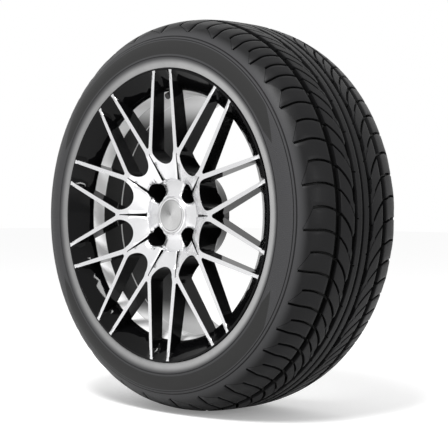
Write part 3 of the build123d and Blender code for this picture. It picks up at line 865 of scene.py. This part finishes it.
@dataclass(frozen=True)
class Plain:
    """Finish of a small part: one colour with a fine mottle in shade and gloss."""

    name: str
    colour: Colour
    roughness: float
    metallic: float = 0.0
    mottle: float = 0.2
    mottle_rough: float = 0.12
    grain: float = 500.0
    grain_height: float = 0.03

    def material(self) -> bpy.types.Material:
        """Material with noise in its colour, gloss and surface."""
        shader = Shader(self.name)
        noise = shader.noise(self.grain)
        dark = tuple(part * (1 - self.mottle) for part in self.colour[:3]) + (1.0,)
        base = shader.mix(noise, dark, self.colour)
        shader.set(Base_Color=base, Roughness=self.roughness + (noise - 0.5) * self.mottle_rough)
        shader.set(Metallic=self.metallic)
        shader.bump(noise, MM * self.grain_height)
        return shader.material


@dataclass(frozen=True)
class CadPiece:
    """A CAD node shown as a smooth merged copy of itself with a finish."""

    node: str
    slot: str
    sharp: float = 20.0
    merge: float = 0.002

    def build(self, frame: dict[str, Any], material: bpy.types.Material) -> bpy.types.Object:
        """Copies the node, merges its loose triangles and dresses it.

        Args:
            material: finish of the piece.
        Returns:
            The new object, riding on the node's own body.
        """
        source = frame["nodes"][self.node]
        mesh = source.data.copy()
        work = bmesh.new()
        work.from_mesh(mesh)
        bmesh.ops.remove_doubles(work, verts=work.verts, dist=self.merge * MM)
        work.to_mesh(mesh)
        work.free()
        mesh.shade_smooth()
        mesh.set_sharp_from_angle(angle=radians(self.sharp))
        mesh.materials.clear()
        mesh.materials.append(material)
        piece = bpy.data.objects.new(f"{self.node}_finished", mesh)
        bpy.context.scene.collection.objects.link(piece)
        normals = piece.modifiers.new("flat_faces", "WEIGHTED_NORMAL")
        normals.keep_sharp = True
        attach(piece, source["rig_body"])
        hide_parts(self.node)
        return piece


@dataclass(frozen=True)
class HardParts:
    """Wheel, cap and valve with their finishes."""

    steel: Plain = Plain("spring_steel", grey(0.5), 0.3, 1.0)
    rubber: Plain = Plain("valve_rubber", grey(0.012), 0.5)
    brass: Plain = Plain("valve_brass", (0.62, 0.42, 0.14, 1.0), 0.28, 1.0)
    plastic: Plain = Plain("dust_cap_plastic", grey(0.012), 0.4)
    press_axis: Place = (0.0, 0.86705, 0.49822)
    spring_keep: float = 0.74

    def build(self, frame: dict[str, Any]) -> list[bpy.types.Object]:
        """All hard pieces, each on the body that its node rides on."""
        steel, rubber, brass = self.steel.material(), self.rubber.material(), self.brass.material()
        pieces = {
            CadPiece("wheel", "wheel_alloy"): WheelFinish().material(),
            CadPiece("centre_cap", "cap_plastic"): CapSilver().material(),
            CadPiece("cap_disc", "cap_metal"): Spun().material(),
            CadPiece("cap_spring_ring", "spring_steel"): steel,
            CadPiece("valve_stem", "valve_rubber"): rubber,
            CadPiece("valve_tube", "valve_brass"): brass,
            CadPiece("valve_core", "valve_brass"): brass,
            CadPiece("valve_pin", "valve_brass"): brass,
            CadPiece("valve_pin_seal", "valve_rubber"): rubber,
            CadPiece("valve_spring", "spring_steel"): steel,
            CadPiece("valve_cap", "valve_cap_plastic"): self.plastic.material(),
            CadPiece("valve_cap_seal", "valve_rubber"): rubber,
        }
        built = {piece.node: piece.build(frame, material) for piece, material in pieces.items()}
        self.squash_spring(built["valve_spring"])
        return list(built.values())

    def squash_spring(self, spring: bpy.types.Object) -> None:
        """Reads the coil spring's points and gives the spring its own copy of its mesh."""
        points = np.empty(len(spring.data.vertices) * 3)
        spring.data.vertices.foreach_get("co", points)
        points = points.reshape(-1, 3)
        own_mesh(spring)


@dataclass(frozen=True)
class Softbox:
    """Square studio lamp that looks at the wheel."""

    place: Place
    size: float
    power: float

    def build(self) -> None:
        """Adds the lamp to the scene."""
        data = bpy.data.lights.new("softbox", "AREA")
        data.size = self.size
        data.energy = self.power
        lamp = bpy.data.objects.new("softbox", data)
        bpy.context.scene.collection.objects.link(lamp)
        turn = (-Vector(self.place)).to_track_quat("-Z", "Y").to_matrix().to_4x4()
        lamp.matrix_world = Matrix.Translation(self.place) @ turn


@dataclass(frozen=True)
class Studio:
    """White studio: floor, background, lamps and the camera that sees the wheel as photographed."""

    camera_place: Place = (1.6010, -1.6045, 0.0130)
    camera_back: Place = (0.70008, -0.71397, 0.01194)
    camera_roll: float = 0.51
    lens: float = 109.27
    ground: float = -0.3215
    floor_size: float = 30.0
    floor_shade: float = 0.95
    floor_rough: float = 0.9
    floor_glow: float = 0.2
    ambient: float = 0.8
    lamps: tuple[Softbox, ...] = (
        Softbox((0.75, -1.45, 1.85), 0.7, 60.0),
        Softbox((2.6, -0.3, 0.5), 0.8, 14.0),
    )

    def build(self) -> None:
        """Builds everything round the wheel."""
        self.floor()
        self.background()
        for lamp in self.lamps:
            lamp.build()
        self.camera()

    def slab(self, name: str, size: float, height: float, shader: Shader) -> None:
        """Level square of the stage.

        Args:
            name: name of the object.
            size: length of its sides.
            height: its Z.
            shader: its material.
        """
        corners = np.array([(-1, -1), (1, -1), (1, 1), (-1, 1)]) * size / 2
        mesh = bpy.data.meshes.new(name)
        mesh.from_pydata(np.column_stack([corners, np.full(4, height)]), [], [(0, 1, 2, 3)])
        mesh.materials.append(shader.material)
        square = bpy.data.objects.new(name, mesh)
        bpy.context.scene.collection.objects.link(square)

    def floor(self) -> None:
        """Pale floor that keeps the shadow; a glow that only the camera sees brings it up to white."""
        shader = Shader("studio_floor")
        shader.set(Base_Color=grey(self.floor_shade), Roughness=self.floor_rough, Specular_IOR_Level=0.0)
        seen = Socket(shader, shader.node("ShaderNodeLightPath").outputs["Is Camera Ray"])
        glow = shader.mix(seen, grey(0.0), grey(1.0))
        shader.set(Emission_Color=glow, Emission_Strength=self.floor_glow)
        self.slab("floor", self.floor_size, self.ground, shader)

    def background(self) -> None:
        """World that looks white, and lights the wheel at a plain level."""
        world = bpy.data.worlds.new("studio")
        world.use_nodes = True
        nodes = Nodes(world.node_tree)
        ray = nodes.node("ShaderNodeLightPath")
        kinds = ("Is Camera Ray", "Is Glossy Ray", "Is Transmission Ray")
        camera, glossy, through = (Socket(nodes, ray.outputs[kind]) for kind in kinds)
        shown = nodes.math("MAXIMUM", nodes.math("MAXIMUM", camera, glossy), through)
        level = nodes.node("ShaderNodeMapRange", Value=shown, To_Min=self.ambient)
        strength = Socket(nodes, level.outputs["Result"])
        glow = nodes.node("ShaderNodeBackground", Color=grey(1.0), Strength=strength)
        nodes.node("ShaderNodeOutputWorld", Surface=Socket(nodes, glow.outputs[0]))
        bpy.context.scene.world = world

    def camera(self) -> None:
        """Camera at the photograph's place, with its small roll."""
        back = Vector(self.camera_back).normalized()
        level = Vector((0, 0, 1)).cross(back).normalized()
        turn = Matrix((level, back.cross(level), back)).transposed().to_4x4()
        data = bpy.data.cameras.new("camera")
        data.lens = self.lens
        camera = bpy.data.objects.new("camera", data)
        roll = Matrix.Rotation(radians(self.camera_roll), 4, "Z")
        camera.matrix_world = Matrix.Translation(self.camera_place) @ turn @ roll
        bpy.context.scene.collection.objects.link(camera)
        bpy.context.scene.camera = camera


def main() -> None:
    """Loads the frame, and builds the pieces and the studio."""
    logging.basicConfig(level=logging.INFO)
    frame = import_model()
    pieces = [Tyre().build(), *HardParts().build(frame)]
    for piece in pieces:
        LOG.info("%s: %d faces", piece.name, len(piece.data.polygons))
    Studio().build()
    bpy.context.scene.view_settings.view_transform = "Standard"


if __name__ == "__main__":
    main()
